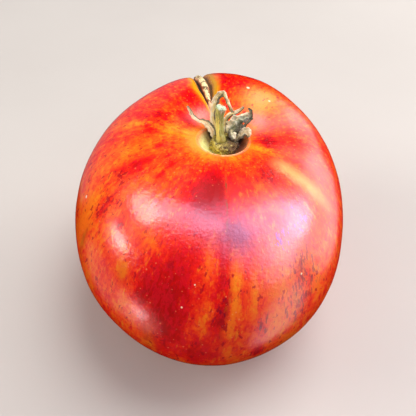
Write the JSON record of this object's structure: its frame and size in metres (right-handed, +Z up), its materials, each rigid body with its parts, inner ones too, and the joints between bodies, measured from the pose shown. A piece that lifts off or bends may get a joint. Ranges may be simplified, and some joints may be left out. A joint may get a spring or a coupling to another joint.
{
  "type": "tomato",
  "caption": "Ripe, softly lobed beefsteak tomato as picked, with a healed crack over its shoulder, a short stem and a dried calyx, standing on its own small flat spot.",
  "frame": {"origin": "on the surface it rests on, under the middle of the whole part's outline", "axes": "+Z up through the fruit, +Y towards the back shoulder that carries the healed crack (its longest way), +X to the right of a viewer who looks along +Y"},
  "size_m": [0.0875, 0.1044, 0.0747],
  "materials": {
    "tomato_skin": "smooth glossy red skin with orange and yellow streaks round the stem, fine dark red specks and a cream cork scar over the back shoulder",
    "stem_fibre": "dull ribbed yellow-green stem with a pale cut end",
    "dried_calyx": "dull dried olive, straw and grey-green sepals on an olive-brown collar"
  },
  "bodies": {
    "root": {"fruit": "tomato_skin", "stem": "stem_fibre", "calyx": "dried_calyx"}
  },
  "joints": []
}
